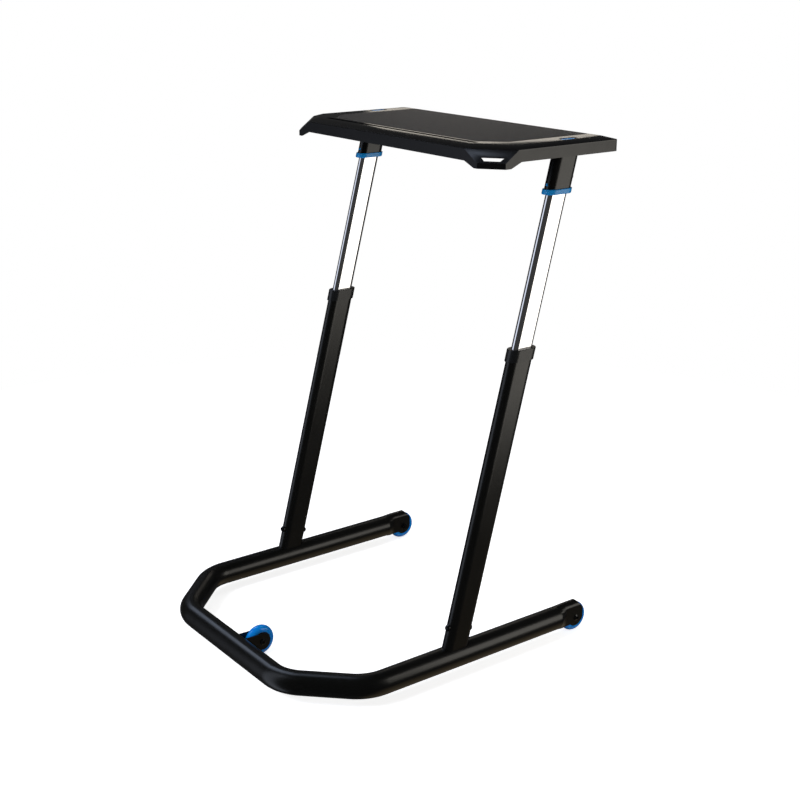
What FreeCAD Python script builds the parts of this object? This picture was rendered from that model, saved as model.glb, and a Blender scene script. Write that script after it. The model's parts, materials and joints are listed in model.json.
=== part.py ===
import FreeCAD
import Part
import Sketcher
import math
import os
import re

# Bike trainer desk: a wheeled U of bent tube, two leaning telescopic legs and a moulded desktop.
# Lengths are millimetres. X runs across the desk, +Y towards the rider, +Z up from the floor.
# The origin is on the floor, under the middle of the object's outline.

SIZES = {
    # Base tube
    "tube_dia": (57.0, "outside diameter of the base tube"),
    "tube_wall": (2.0, "wall of the base tube"),
    "tube_height": (47.5, "height of the base tube's centre line"),
    "arm_x": (358.0, "centre line of each arm and leg from the middle"),
    "crossbar_y": (-392.0, "centre line of the crossbar"),
    "corner_run": (138.0, "slanted corner, measured across the desk"),
    "arm_vertex_y": (-250.0, "where the arm's line meets the slanted corner"),
    "bend_radius": (100.0, "centre line radius of the four bends"),
    # Squeezed rear ends that hold the wheels
    "squeeze_long": (81.0, "end of the round section before the arm's end"),
    "cheek_long": (54.0, "start of the flat-sided section before the arm's end"),
    "wheel_clear": (8.0, "space over a rear wheel inside the squeezed end"),
    "arm_end_y": (396.0, "rear edge of the side plates"),
    "cheek_bottom": (23.0, "lower edge of the side plates"),
    "cheek_slope": (15.0, "length of the sloping rear edge"),
    "cheek_slope_z": (63.0, "lower end of the sloping rear edge"),
    "squeeze_relief": (6.0, "how far ahead of the flat section its lower edge ends"),
    # Wheels
    "wheel_dia": (75.0, "diameter of the tyre"),
    "wheel_width": (24.0, "width of the tyre and hub"),
    "tyre_base": (2.0, "tyre below its round crown"),
    "rim_thick": (4.5, "rim of the hub"),
    "web_thick": (9.0, "web of the hub"),
    "hub_wall": (2.5, "wall of the barrel that holds the bearings"),
    "bearing_dia": (22.0, "outside of a ball bearing"),
    "bearing_width": (7.0, "width of a ball bearing"),
    "bearing_inset": (0.3, "bearing face inside the hub's face"),
    "bearing_shoulder": (3.0, "shoulder in the hub behind each bearing"),
    "race_thick": (2.0, "thickness of a bearing's race, and of the washer that meets it"),
    "bearing_dish": (0.6, "shield set back between the races"),
    "axle_in": (21.5, "rear axles from the arms' ends"),
    "fork_reach": (74.0, "front axle from the crossbar's centre line"),
    "fork_play": (1.2, "space between the hub and a fork plate"),
    "axle_dia": (8.0, "shank of an axle bolt"),
    "axle_fit": (0.05, "radial play of a bearing on its axle"),
    "bolt_tail": (1.5, "axle bolt beyond its nut"),
    "plate_thick": (3.0, "front fork plate"),
    "plate_nose_radius": (21.0, "round end of a front fork plate"),
    "plate_root_top": (61.0, "upper edge of a fork plate at the crossbar"),
    "plate_root_bottom": (31.0, "lower edge of a fork plate at the crossbar"),
    # Legs, measured along the leaning centre line from the base tube's centre
    "leg_lean": (14.8, "lean of the legs towards the rider, degrees"),
    "leg_foot_y": (-9.3, "leg's line at the base tube's centre"),
    "leg_long": (66.0, "long side of the outer leg tube"),
    "leg_short": (33.0, "short side of the outer leg tube"),
    "leg_wall": (2.0, "wall of the outer leg tube"),
    "leg_top": (731.0, "top of the outer leg tube"),
    "saddle_gap": (0.2, "gap between a leg's foot and the base tube"),
    "spigot_gap": (0.3, "gap between the spigot and the outer leg tube"),
    "spigot_wall": (3.0, "wall of the spigot"),
    "spigot_top": (95.0, "top of the spigot"),
    "bolt_rise": (71.6, "leg bolts above the base tube's centre"),
    "bolt_dia": (8.0, "shank of a leg bolt"),
    "bolt_length": (16.0, "shank length of a leg bolt"),
    "head_dia": (16.0, "head of an axle or leg bolt"),
    "head_height": (4.0, "height of that head"),
    "leg_head_height": (6.0, "height of a leg bolt's head"),
    "head_flat": (0.28, "radius of a domed head's flat, as a share of the head's diameter"),
    "head_rim": (0.3, "upright rim of a domed head, as a share of its height"),
    "bolt_hole_play": (0.1, "radial play of a bolt in its hole"),
    "nut_dia": (13.0, "width of a nut"),
    "nut_height": (6.5, "height of a nut"),
    "hex_socket": (5.0, "width of the hexagon socket"),
    "hex_depth": (2.2, "depth of the hexagon socket"),
    "collar_proud": (3.0, "collar outside the leg tube"),
    "collar_height": (28.0, "height of the leg collar"),
    "collar_cap": (12.0, "collar above the leg tube, on the leg's centre line"),
    "collar_liner": (55.0, "length of the collar's guide inside the leg"),
    "collar_round": (1.5, "rounding of the collar's upper edge"),
    "slide_gap": (0.4, "running gap between the inner leg and its guides"),
    "seat_gap": (0.2, "gap of a piece pushed into another"),
    "inner_long": (54.0, "long side of the chromed inner leg"),
    "inner_short": (22.0, "short side of the chromed inner leg"),
    "inner_wall": (2.0, "wall of the inner leg"),
    "inner_length": (672.0, "length of the inner leg"),
    "inner_end": (12.7, "inner leg's top below the bracket, along the leg"),
    "ring_hang": (90.7, "trim ring's underside below the bracket, along the leg"),
    "ring_height": (12.0, "height of the trim ring"),
    "ring_proud": (3.5, "trim ring outside the sleeve"),
    "ring_liner": (52.0, "length of the ring's liner inside the sleeve"),
    "ring_round": (1.5, "rounding of the ring's edges"),
    "tab_width": (6.0, "width of the ring's snap tab"),
    "tab_height": (5.0, "height of the snap tab"),
    "tab_rise": (7.5, "snap tab above the ring, at the leg's front"),
    "tab_proud": (0.8, "snap tab outside the sleeve"),
    "sleeve_screw_rise": (31.0, "sleeve screw above the ring"),
    "sleeve_screw_dia": (6.0, "shank of the sleeve screw"),
    "sleeve_head_dia": (13.0, "head of the sleeve screw"),
    "sleeve_screw_length": (9.5, "shank length of the sleeve screw"),
    # Brake inside each leg
    "foot_length": (45.0, "guide foot below the inner leg"),
    "foot_plug": (25.0, "guide foot inside the inner leg"),
    "foot_gap": (0.35, "running gap between the guide foot and the leg"),
    "rod_dia": (5.0, "push rod"),
    "rod_gap": (0.35, "radial gap around the push rod"),
    "cavity_long": (23.0, "wedge space in the guide foot, along the long side"),
    "cavity_short": (13.0, "wedge space in the guide foot, along the short side"),
    "cavity_depth": (37.0, "wedge space above the foot's lower face"),
    "shoe_width": (15.4, "width of a brake shoe"),
    "shoe_height": (25.2, "height of a brake shoe"),
    "shoe_gap": (0.35, "gap around a brake shoe"),
    "shoe_rise": (8.4, "underside of a shoe above the foot's lower face"),
    "wedge_width": (12.0, "width of the wedge"),
    "wedge_height": (24.0, "height of the wedge"),
    "wedge_rise": (10.0, "underside of the wedge above the foot's lower face"),
    "wedge_half_bottom": (7.5, "half thickness of the wedge at its lower end"),
    "wedge_slope": (0.125, "shoe travel for each millimetre of button travel"),
    # Desktop
    "top_z": (1223.6, "upper face of the desktop's border"),
    "desk_beyond": (37.0, "desktop beyond each leg's line"),
    "desk_ahead": (251.4, "desktop's front edge from the buttons' middle"),
    "desk_deep": (370.5, "desktop, front to rear"),
    "bevel_width": (23.6, "width of the sloping border"),
    "bevel_drop": (7.0, "drop of the sloping border"),
    "skirt_drop": (33.0, "lower edge of the skirt below the top"),
    "lip_drop": (45.5, "lower edge of the corner lips below the top"),
    "corner_low": (48.5, "cut corner at the skirt's lower edge, along the front"),
    "corner_bevel": (94.5, "cut corner at the foot of the sloping border, along the front"),
    "corner_top": (80.0, "cut corner of the flat top, along the front"),
    "corner_slant": (0.8, "cut corner along the side, as a share of its length along the front"),
    "rear_corner_radius": (9.0, "rounding of the rear corners"),
    "lip_run_x": (32.0, "slope of the front skirt down to a lip"),
    "lip_side_x": (11.0, "front end of a lip before its corner"),
    "lip_run_y": (29.0, "slope of the side skirt down to a lip"),
    "lip_side_y": (6.0, "side end of a lip past its corner"),
    "top_wall": (4.0, "thickness of the desktop's top"),
    "skirt_wall": (3.0, "thickness of the skirt"),
    "slot_drop": (23.6, "handle slot below the top"),
    "slot_high": (6.2, "height of a handle slot"),
    "slot_top_long": (50.0, "length of a handle slot's upper edge"),
    "slot_bottom_long": (35.0, "length of a handle slot's lower edge"),
    "groove_half": (289.0, "half length of the tablet groove"),
    "groove_in": (40.0, "tablet groove from the front edge"),
    "groove_width": (14.0, "width of the tablet groove"),
    "groove_depth": (12.5, "depth of the tablet groove"),
    "mat_half": (322.0, "half width of the mat"),
    "mat_in": (61.0, "mat from the front edge"),
    "mat_rear_in": (27.0, "mat from the rear edge"),
    "mat_corner": (50.0, "cut front corners of the mat"),
    "mat_thick": (2.0, "thickness of the mat"),
    "mat_recess": (1.6, "depth of the mat's bed"),
    "mat_gap": (0.3, "gap around the mat"),
    "dash_count": (40, "raised dashes along the mat's rear edge"),
    "dash_margin": (17.8, "middle of the last dash from the mat's side"),
    "dash_long": (9.0, "length of a dash"),
    "dash_wide": (2.4, "width of a dash"),
    "dash_high": (0.6, "height of a dash"),
    "dash_inset": (3.5, "dashes from the mat's rear edge"),
    "rib_depth": (14.0, "stiffening ribs below the top's underside"),
    "rib_thick": (2.5, "stiffening rib"),
    "rib_short": (28.0, "gap between the ribs' ends and the skirt"),
    "rib_first": (105.0, "first rib across the desk, from the front edge"),
    "rib_pitch_y": (55.0, "spacing of those ribs"),
    "rib_rows": (3, "ribs at that spacing"),
    "rib_last": (66.0, "last rib across the desk, from the rear edge"),
    "rib_pitch_x": (110.0, "spacing of the front to rear ribs"),
    "rib_columns": (5, "front to rear ribs"),
    "rib_front_in": (64.0, "front to rear ribs from the front edge"),
    "rib_rear_in": (30.0, "front to rear ribs from the rear edge"),
    # Release buttons
    "recess_long": (51.0, "button recess, front to rear"),
    "recess_short": (22.0, "button recess, across"),
    "cup_wall": (2.5, "wall of the button cup"),
    "cup_floor": (3.0, "floor of the button cup"),
    "rod_hole_dia": (10.0, "hole for the push rod in the cup and bracket"),
    "button_long": (38.0, "release button, front to rear"),
    "button_short": (17.5, "release button, across"),
    "button_sunk": (1.0, "button below the desktop's face"),
    "button_top": (3.0, "thickness of the button's top"),
    "button_wall": (1.8, "wall of the button's skirt"),
    "button_skirt": (8.0, "depth of the button's skirt"),
    "button_round": (1.2, "rounding of the button's upper edge"),
    "spring_coil_dia": (12.0, "mean diameter of the return spring"),
    "spring_wire": (1.0, "wire of the return spring"),
    "spring_gap": (0.3, "gap at each end of the return spring"),
    # Steel under the desktop
    "bracket_drop": (27.0, "upper face of the leg brackets below the top"),
    "bracket_thick": (3.0, "leg bracket plate"),
    "bracket_in": (50.0, "bracket on the inner side of a leg's line"),
    "bracket_out": (24.0, "bracket on the outer side of a leg's line"),
    "bracket_half_y": (64.0, "half length of a bracket, front to rear"),
    "bracket_corner": (10.0, "corner rounding of a bracket"),
    "bracket_screw_y": (50.0, "bracket screws from the leg's line"),
    "bracket_screw_in": (10.0, "bracket screws from the bracket's side edges"),
    "rail_width": (42.0, "cross rail, front to rear"),
    "rail_depth": (16.0, "cross rail, top to bottom"),
    "rail_wall": (2.0, "wall of the cross rail"),
    "rail_screw_x": (165.0, "inner cross rail screws from the middle"),
    "rail_screw_far": (275.0, "outer cross rail screws from the middle"),
    "boss_dia": (9.0, "screw boss under the desktop"),
    "screw_dia": (4.0, "shank of a desktop screw"),
    "screw_play": (0.05, "radial play of a screw in its boss"),
    "screw_length": (14.0, "shank length of a desktop screw"),
    "screw_head_dia": (8.0, "head of a desktop screw"),
    "screw_head_height": (2.6, "height of that head"),
    "past": (1.0, "how far a cutting outline reaches past what it cuts"),
}

# Sizes that follow from those, by the same kind of formula
WORKED_OUT = {
    "crossbar_half": "arm_x - corner_run",
    "squeeze_start": "arm_end_y - squeeze_long",
    "squeeze_end": "arm_end_y - cheek_long",
    "squeeze_height": "2 * (wheel_dia + wheel_clear + tube_wall - tube_height)",
    "cheek_slope_y": "arm_end_y - cheek_slope",
    "rear_axle_y": "arm_end_y - axle_in",
    "front_axle_y": "crossbar_y + fork_reach",
    "hub_dia": "wheel_dia - wheel_width - 2 * tyre_base",
    "rim_inner_dia": "hub_dia - 2 * rim_thick",
    "hub_nose_dia": "bearing_dia + 2 * hub_wall",
    "collar_long": "leg_long + 2 * collar_proud",
    "collar_short": "leg_short + 2 * collar_proud",
    "ring_long": "leg_long + 2 * ring_proud",
    "ring_short": "leg_short + 2 * ring_proud",
    "bracket_top_z": "top_z - bracket_drop",
    "bracket_along": "(bracket_top_z - bracket_thick - tube_height) / cos(leg_lean)",
    "ring_bottom": "bracket_along - ring_hang",
    "inner_top": "bracket_along - inner_end",
    "inner_bottom": "inner_top - inner_length",
    "desk_half": "arm_x + desk_beyond",
    "desk_front": "leg_foot_y + (top_z - tube_height) * tan(leg_lean) - desk_ahead",
    "desk_rear": "desk_front + desk_deep",
    "lip_end_x": "desk_half - corner_low - lip_side_x",
    "lip_start_x": "lip_end_x - lip_run_x",
    "lip_end_y": "desk_front + corner_low + lip_side_y",
    "lip_start_y": "lip_end_y + lip_run_y",
    "slot_top": "top_z - slot_drop",
    "slot_bottom": "slot_top - slot_high",
    "groove_front": "desk_front + groove_in",
    "mat_front": "desk_front + mat_in",
    "mat_rear": "desk_rear - mat_rear_in",
    "dash_span": "2 * (mat_half - dash_margin)",
    "rib_half": "desk_half - skirt_wall - rib_short",
    "rib_first_y": "desk_front + rib_first",
    "rib_last_y": "desk_rear - rib_last",
    "rib_front_y": "desk_front + rib_front_in",
    "rib_rear_y": "desk_rear - rib_rear_in",
    "bracket_inner_x": "arm_x - bracket_in",
    "bracket_outer_x": "arm_x + bracket_out",
}

doc = FreeCAD.newDocument("bike_trainer_desk")
sheet = doc.addObject("Spreadsheet::Sheet", "Dims")
for row, (alias, (value, words)) in enumerate(SIZES.items(), start=1):
    sheet.set(f"A{row}", words)
    sheet.set(f"B{row}", str(value))
    sheet.setAlias(f"B{row}", alias)
doc.recompute()

SIDES = (("left", -1), ("right", 1))
nodes = []


def bound(text):
    """The formula with each size's name turned into its cell, or into the formula that it stands for."""
    def word(match):
        name = match[0]
        if name in WORKED_OUT:
            return f"({bound(WORKED_OUT[name])})"
        return "Dims." + name if name in SIZES else name
    return re.sub(r"[a-z][a-z_]*", word, str(text))


def size(text):
    """The formula's present value."""
    return float(sheet.evalExpression(bound(text)))


def new_body(label, x="0", y="0", z="0", lean=False, turn="0"):
    """A body placed by formulas: leaning with the legs, or turned about Z."""
    body = doc.addObject("PartDesign::Body", label)
    body.Label = label
    axis, angle = ("1; 0; 0", "-leg_lean") if lean else ("0; 0; 1", turn)
    place = f"placement(vector({x}; {y}; {z}); rotation(vector({axis}); {angle}))"
    body.setExpression("Placement", bound(place))
    nodes.append(body)
    return body


def leg_body(label, sign):
    """A body whose Z axis is a leg's centre line, counted from the base tube's centre."""
    return new_body(label, f"{sign} * arm_x", "leg_foot_y", "tube_height", lean=True)


def new_sketch(body, plane, offset="0", place=None):
    """A sketch on one of the body's own origin planes, moved along its normal or placed by a formula."""
    sketch = body.newObject("Sketcher::SketchObject", body.Label + "_sketch")
    origin = next(item for item in body.Origin.OriginFeatures if item.Role == plane + "_Plane")
    sketch.AttachmentSupport = [(origin, "")]
    sketch.MapMode = "FlatFace"
    if place:
        sketch.setExpression("AttachmentOffset", bound(place))
    else:
        sketch.setExpression("AttachmentOffset.Base.z", bound(offset))
    return sketch


def bind(sketch, kind, geo, point, formula):
    """Hold a point's distance from the sketch's origin at a formula's value."""
    index = sketch.addConstraint(Sketcher.Constraint(kind, -1, 1, geo, point, size(formula)))
    sketch.setExpression(f"Constraints[{index}]", bound(formula))


def outline(sketch, corners, closed=True):
    """Lines and arcs through the corners. A corner (x, y) starts a line and a corner
    (x, y, centre x, centre y, turn) starts an arc, turn being 1 for counter-clockwise."""
    spots = [(size(c[0]), size(c[1])) for c in corners]
    count = len(corners) if closed else len(corners) - 1
    pieces = []
    for i in range(count):
        here = spots[i]
        there = spots[(i + 1) % len(spots)]
        start, end = FreeCAD.Vector(*here, 0), FreeCAD.Vector(*there, 0)
        if len(corners[i]) == 2:
            geo = sketch.addGeometry(Part.LineSegment(start, end), False)
            pieces.append((geo, 1, 2))
            continue
        centre = FreeCAD.Vector(size(corners[i][2]), size(corners[i][3]), 0)
        turn = corners[i][4]
        first, last = (start, end) if turn > 0 else (end, start)
        angles = [math.atan2(p.y - centre.y, p.x - centre.x) for p in (first, last)]
        circle = Part.Circle(centre, FreeCAD.Vector(0, 0, 1), (start - centre).Length)
        geo = sketch.addGeometry(Part.ArcOfCircle(circle, *angles), False)
        pieces.append((geo, 1, 2) if turn > 0 else (geo, 2, 1))
    for i, (geo, start, end) in enumerate(pieces):
        bind(sketch, "DistanceX", geo, start, corners[i][0])
        bind(sketch, "DistanceY", geo, start, corners[i][1])
        if closed or i + 1 < count:
            following = pieces[(i + 1) % count]
            sketch.addConstraint(Sketcher.Constraint("Coincident", geo, end, following[0], following[1]))
        else:
            bind(sketch, "DistanceX", geo, end, corners[-1][0])
            bind(sketch, "DistanceY", geo, end, corners[-1][1])
        if len(corners[i]) == 5:
            here, there = spots[i], spots[(i + 1) % len(spots)]
            upright = abs(there[0] - here[0]) < abs(there[1] - here[1])
            kind, which = ("DistanceX", 2) if upright else ("DistanceY", 3)
            bind(sketch, kind, geo, 3, corners[i][which])
    return sketch


def circle(sketch, x, y, radius):
    """A circle with its centre and radius held by formulas."""
    centre = FreeCAD.Vector(size(x), size(y), 0)
    geo = sketch.addGeometry(Part.Circle(centre, FreeCAD.Vector(0, 0, 1), size(radius)), False)
    bind(sketch, "DistanceX", geo, 3, x)
    bind(sketch, "DistanceY", geo, 3, y)
    index = sketch.addConstraint(Sketcher.Constraint("Radius", geo, size(radius)))
    sketch.setExpression(f"Constraints[{index}]", bound(radius))
    return sketch


def rectangle(sketch, x_low, y_low, x_high, y_high):
    return outline(sketch, [(x_low, y_low), (x_high, y_low), (x_high, y_high), (x_low, y_high)])


def flat_oval(sketch, long_side, short_side, x="0", y="0"):
    """Two straight sides joined by half circles, long along the sketch's Y."""
    half = f"(({short_side}) / 2)"
    straight = f"((({long_side}) - ({short_side})) / 2)"
    return outline(sketch, [
        (f"({x}) + {half}", f"({y}) - {straight}"),
        (f"({x}) + {half}", f"({y}) + {straight}", x, f"({y}) + {straight}", 1),
        (f"({x}) - {half}", f"({y}) + {straight}"),
        (f"({x}) - {half}", f"({y}) - {straight}", x, f"({y}) - {straight}", 1),
    ])


def pad(body, sketch, length, both_ways=False, back=False):
    feature = body.newObject("PartDesign::Pad", body.Label + "_pad")
    feature.Profile = sketch
    feature.setExpression("Length", bound(length))
    if both_ways:
        feature.SideType = "Symmetric"
    feature.Reversed = back
    return feature


def pocket(body, sketch, depth=None, both_ways=False, back=False):
    """Cut to a depth, or through everything when none is given."""
    feature = body.newObject("PartDesign::Pocket", body.Label + "_pocket")
    feature.Profile = sketch
    if depth is None:
        feature.Type = "ThroughAll"
    else:
        feature.setExpression("Length", bound(depth))
    if both_ways:
        feature.SideType = "Symmetric"
    feature.Reversed = back
    return feature


def revolve(body, sketch, axis="H_Axis"):
    feature = body.newObject("PartDesign::Revolution", body.Label + "_revolution")
    feature.Profile = sketch
    feature.ReferenceAxis = (sketch, [axis])
    feature.Angle = 360
    return feature


def loft(body, sketches, cut=False):
    """Straight-sided loft through the sketches, added to the body or cut from it."""
    kind = "SubtractiveLoft" if cut else "AdditiveLoft"
    feature = body.newObject("PartDesign::" + kind, body.Label + "_loft")
    feature.Profile = sketches[0]
    feature.Sections = sketches[1:]
    feature.Ruled = True
    return feature


def mirror(body, features, plane):
    """Repeat the features on the other side of one of the body's origin planes."""
    origin = next(item for item in body.Origin.OriginFeatures if item.Role == plane + "_Plane")
    feature = body.newObject("PartDesign::Mirrored", body.Label + "_mirror")
    feature.Originals = features
    feature.MirrorPlane = (origin, [""])
    body.Tip = feature
    return feature


def repeat(body, features, axis, length, count):
    """Repeat the features in a row of a given overall length along an origin axis."""
    origin = next(item for item in body.Origin.OriginFeatures if item.Role == axis + "_Axis")
    feature = body.newObject("PartDesign::LinearPattern", body.Label + "_row")
    feature.Originals = features
    feature.Direction = (origin, [""])
    feature.setExpression("Length", bound(length))
    feature.setExpression("Occurrences", bound(count))
    body.Tip = feature
    return feature


def round_edges(body, radius, chosen):
    """Round the edges of the finished shape that the test picks."""
    doc.recompute()
    base = body.Tip
    names = [f"Edge{i}" for i, edge in enumerate(base.Shape.Edges, start=1) if chosen(edge)]
    feature = body.newObject("PartDesign::Fillet", body.Label + "_fillet")
    feature.Base = (base, names)
    feature.setExpression("Radius", bound(radius))
    return feature


def at_height(edge, z):
    """Whether the whole edge lies at a height of the body's own frame."""
    box = edge.BoundBox
    return abs(box.ZMin - z) < 0.001 and abs(box.ZMax - z) < 0.001


def level_rim(edge, station):
    """Whether the edge is part of a leg piece's outer rim in the level plane through a station."""
    lean = math.radians(size("leg_lean"))
    offsets = [(p.z - size(station)) * math.cos(lean) - p.y * math.sin(lean) for p in edge.discretize(3)]
    box = edge.BoundBox
    return max(map(abs, offsets)) < 0.001 and max(-box.XMin, box.XMax) > size("leg_short / 2")


# Values worked out from the driving sizes
TUBE_R = "(tube_dia / 2)"
AXLE_Z = "(wheel_dia / 2)"
GAP_HALF = "(wheel_width / 2 + fork_play)"
CHEEK_HALF = f"({GAP_HALF} + tube_wall)"
TURN = "(atan((arm_vertex_y - crossbar_y) / (arm_x - crossbar_half)))"
BEND_A = f"(bend_radius * tan({TURN} / 2))"
BEND_B = f"(bend_radius * tan((90 deg - {TURN}) / 2))"
LEG_IN_LONG = "(leg_long - 2 * leg_wall)"
LEG_IN_SHORT = "(leg_short - 2 * leg_wall)"
INNER_IN_LONG = "(inner_long - 2 * inner_wall)"
INNER_IN_SHORT = "(inner_short - 2 * inner_wall)"
COLLAR_TOP = "(leg_top + collar_cap)"
RING_TOP = "(ring_bottom + ring_height)"
TAB_LOW = f"({RING_TOP} - leg_long / 2 * tan(leg_lean) + tab_rise)"
FOOT_BOTTOM = "(inner_bottom - foot_length)"
BRACKET_Z = "(bracket_top_z - bracket_thick)"
LEG_Y_AT_TOP = "(leg_foot_y + (top_z - tube_height) * tan(leg_lean))"
LEG_Y_AT_BRACKET = f"(leg_foot_y + ({BRACKET_Z} - tube_height) * tan(leg_lean))"
SPRING_BOTTOM = "(bracket_top_z + cup_floor + spring_gap)"
BUTTON_TOP_Z = "(top_z - button_sunk)"
BUTTON_SEAT_Z = f"({BUTTON_TOP_Z} - button_top)"
SPRING_TOP = f"({BUTTON_SEAT_Z} - spring_gap)"
SPRING_Y = f"(leg_foot_y + (({SPRING_BOTTOM} + {SPRING_TOP}) / 2 - tube_height) * tan(leg_lean))"


def base_centre_line(sketch):
    """The U of the base tube seen from above: straights joined by tangent arcs."""
    half = [
        ("arm_x", "squeeze_start"),
        ("arm_x", f"arm_vertex_y + {BEND_B}", "arm_x - bend_radius", f"arm_vertex_y + {BEND_B}", -1),
        (f"arm_x - {BEND_B} * cos({TURN})", f"arm_vertex_y - {BEND_B} * sin({TURN})"),
        (f"crossbar_half + {BEND_A} * cos({TURN})", f"crossbar_y + {BEND_A} * sin({TURN})",
         f"crossbar_half - {BEND_A}", "crossbar_y + bend_radius", -1),
        (f"crossbar_half - {BEND_A}", "crossbar_y"),
    ]
    other = []
    for i in range(len(half) - 1, -1, -1):
        corner = (f"-({half[i][0]})", half[i][1])
        if i > 0 and len(half[i - 1]) == 5:
            corner += (f"-({half[i - 1][2]})", half[i - 1][3], -1)
        other.append(corner)
    return outline(sketch, half + other, closed=False)


def quartered_circle(sketch, x, y, radius):
    """A circle as four arcs, so that it can be lofted to a four-sided outline."""
    reach = f"(({radius}) * sqrt(0.5))"
    corners = []
    for across, up in ((1, -1), (1, 1), (-1, 1), (-1, -1)):
        corners.append((f"({x}) + {across} * {reach}", f"({y}) + {up} * {reach}", x, y, 1))
    return outline(sketch, corners)


def squeezed(sketch, x, inset):
    """The tube's flat-sided end, smaller by an inset all round."""
    height = f"squeeze_height - 2 * {inset}"
    width = f"2 * ({CHEEK_HALF} - {inset})"
    return flat_oval(sketch, height, width, x, "tube_height")


def base_frame():
    """Bent base tube. Each rear end is squeezed flat-sided and cut open below and behind its wheel."""
    body = new_body("base_frame")
    path = base_centre_line(new_sketch(body, "XY", "tube_height"))
    section = new_sketch(body, "XZ", "-squeeze_start")
    circle(section, "arm_x", "tube_height", TUBE_R)
    circle(section, "arm_x", "tube_height", f"{TUBE_R} - tube_wall")
    tube = body.newObject("PartDesign::AdditivePipe", "base_tube")
    tube.Profile = section
    tube.Spine = (path, [f"Edge{i + 1}" for i in range(path.GeometryCount)])
    for side, sign in SIDES:
        x = f"{sign} * arm_x"
        for inset, cut in (("0", False), ("tube_wall", True)):
            ring = quartered_circle(new_sketch(body, "XZ", "-squeeze_start"), x, "tube_height",
                                    f"{TUBE_R} - {inset}")
            flat = squeezed(new_sketch(body, "XZ", "-squeeze_end"), x, inset)
            loft(body, [ring, flat], cut)
            straight = squeezed(new_sketch(body, "XZ", "-squeeze_end"), x, inset)
            if cut:
                pocket(body, straight, "arm_end_y - squeeze_end")
            else:
                pad(body, straight, "arm_end_y - squeeze_end", back=True)
    trim = new_sketch(body, "YZ")
    below = "tube_height - squeeze_height"
    beyond = "arm_end_y + tube_dia"
    nose = f"(arm_end_y - ({AXLE_Z} - cheek_bottom))"
    outline(trim, [
        ("squeeze_start", below),
        (beyond, below),
        (beyond, "tube_height + squeeze_height"),
        ("cheek_slope_y", "tube_height + squeeze_height"),
        ("cheek_slope_y", "tube_height + squeeze_height / 2"),
        ("arm_end_y", "cheek_slope_z"),
        ("arm_end_y", AXLE_Z, nose, AXLE_Z, -1),
        (nose, "cheek_bottom"),
        ("squeeze_end - squeeze_relief", "cheek_bottom"),
        ("squeeze_start", "tube_height - tube_dia / 2"),
    ])
    pocket(body, trim, both_ways=True)
    axle = circle(new_sketch(body, "YZ"), "rear_axle_y", AXLE_Z, "axle_dia / 2 + bolt_hole_play")
    pocket(body, axle, both_ways=True)


def front_fork_plates():
    """Two teardrop plates welded to the crossbar, one on each side of the front wheel."""
    body = new_body("front_fork_plates")
    body.AllowCompound = True
    side = new_sketch(body, "YZ")
    top = f"({AXLE_Z} + plate_nose_radius)"
    low = f"({AXLE_Z} - plate_nose_radius)"
    outline(side, [
        ("crossbar_y", "plate_root_bottom"),
        ("front_axle_y", low, "front_axle_y", AXLE_Z, 1),
        ("front_axle_y", top),
        ("crossbar_y", "plate_root_top"),
    ])
    pad(body, side, f"2 * ({GAP_HALF} + plate_thick)", both_ways=True)
    gap = rectangle(new_sketch(body, "YZ"), "crossbar_y - tube_dia", f"{low} - past",
                    "front_axle_y + wheel_dia", f"{top} + tube_dia")
    pocket(body, gap, f"2 * {GAP_HALF}", both_ways=True)
    tube = circle(new_sketch(body, "YZ"), "crossbar_y", "tube_height", TUBE_R)
    pocket(body, tube, both_ways=True)
    axle = circle(new_sketch(body, "YZ"), "front_axle_y", AXLE_Z, "axle_dia / 2 + bolt_hole_play")
    pocket(body, axle, both_ways=True)


def wheel(name, x, y):
    """Rounded tyre, webbed hub and two ball bearings, turning about X."""
    half = "(wheel_width / 2)"
    seat = "(hub_dia / 2)"
    crown = "(wheel_dia / 2 - wheel_width / 2)"
    tyre = new_body(name + "_tyre", x, y, AXLE_Z)
    round_section = outline(new_sketch(tyre, "XZ"), [
        (f"-{half}", seat),
        (half, seat),
        (half, crown, "0", crown, 1),
        (f"-{half}", crown),
    ])
    revolve(tyre, round_section)
    hub = new_body(name + "_hub", x, y, AXLE_Z)
    nose = "(hub_nose_dia / 2)"
    bore = "(bearing_dia / 2)"
    rim = "(rim_inner_dia / 2)"
    shoulder = f"({half} - bearing_inset - bearing_width)"
    profile = outline(new_sketch(hub, "XZ"), [
        (f"-{half}", bore),
        (f"-{shoulder}", bore),
        (f"-{shoulder}", f"{bore} - bearing_shoulder"),
        (shoulder, f"{bore} - bearing_shoulder"),
        (shoulder, bore),
        (half, bore),
        (half, nose),
        ("web_thick / 2", nose),
        ("web_thick / 2", rim),
        (half, rim),
        (half, seat),
        (f"-{half}", seat),
        (f"-{half}", rim),
        ("-web_thick / 2", rim),
        ("-web_thick / 2", nose),
        (f"-{half}", nose),
    ])
    revolve(hub, profile)
    bearings = new_body(name + "_bearings", x, y, AXLE_Z)
    bearings.AllowCompound = True
    outer = f"({half} - bearing_inset)"
    race = "(bearing_dia / 2 - race_thick)"
    inner = "(axle_dia / 2 + race_thick)"
    ring = outline(new_sketch(bearings, "XZ"), [
        (shoulder, "axle_dia / 2 + axle_fit"),
        (outer, "axle_dia / 2 + axle_fit"),
        (outer, inner),
        (f"{outer} - bearing_dish", inner),
        (f"{outer} - bearing_dish", race),
        (outer, race),
        (outer, bore),
        (shoulder, bore),
    ])
    mirror(bearings, [revolve(bearings, ring)], "YZ")


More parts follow.
